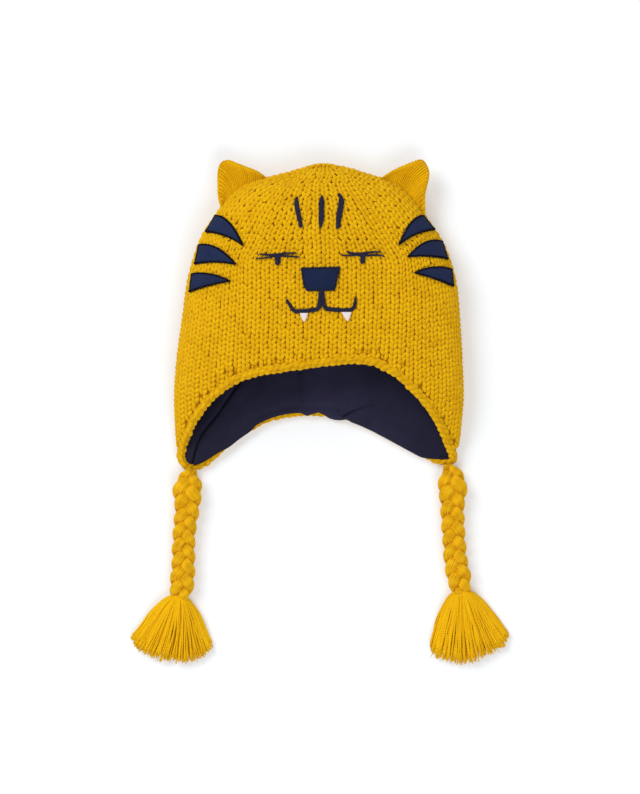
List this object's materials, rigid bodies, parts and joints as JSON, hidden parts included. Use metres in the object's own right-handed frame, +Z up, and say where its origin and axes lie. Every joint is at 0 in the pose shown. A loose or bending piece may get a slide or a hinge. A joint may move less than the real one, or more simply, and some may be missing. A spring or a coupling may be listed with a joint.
{
  "type": "knitted tiger hat",
  "caption": "Bulky knitted child's hat with ear flaps, cupped ears, a sewn tiger face and stripes, a dark lining and a tasselled plait on each flap, lying flat on its back.",
  "frame": {"origin": "middle of the hat without its plaits and tassels, on the surface that its back panel rests on", "axes": "+Y towards the top of the crown, +Z up out of the face, +X towards the right of the picture"},
  "size_m": [0.2748, 0.3621, 0.0455],
  "materials": {
    "mustard_knit": "bulky ribbed knit",
    "mustard_edging": "twisted chain edging",
    "mustard_yarn": "plied yarn",
    "navy_fleece": "brushed fleece",
    "navy_felt": "smooth felt",
    "navy_thread": "stitched yarn",
    "white_felt": "smooth felt"
  },
  "bodies": {
    "root": {"knit_shell": "mustard_knit", "lining": "navy_fleece", "rim_trim": "mustard_edging", "ear_left": "mustard_knit", "ear_right": "mustard_knit", "stripe_left_1": "navy_felt", "stripe_left_2": "navy_felt", "stripe_left_3": "navy_felt", "stripe_right_1": "navy_felt", "stripe_right_2": "navy_felt", "stripe_right_3": "navy_felt", "nose": "navy_felt", "fang_left": "white_felt", "fang_right": "white_felt", "mouth": "navy_thread", "eye_left": "navy_thread", "eye_right": "navy_thread", "brow_mark_1": "navy_thread", "brow_mark_2": "navy_thread", "brow_mark_3": "navy_thread", "braid_left": "mustard_yarn", "tassel_left": "mustard_yarn", "braid_right": "mustard_yarn", "tassel_right": "mustard_yarn"}
  },
  "joints": []
}
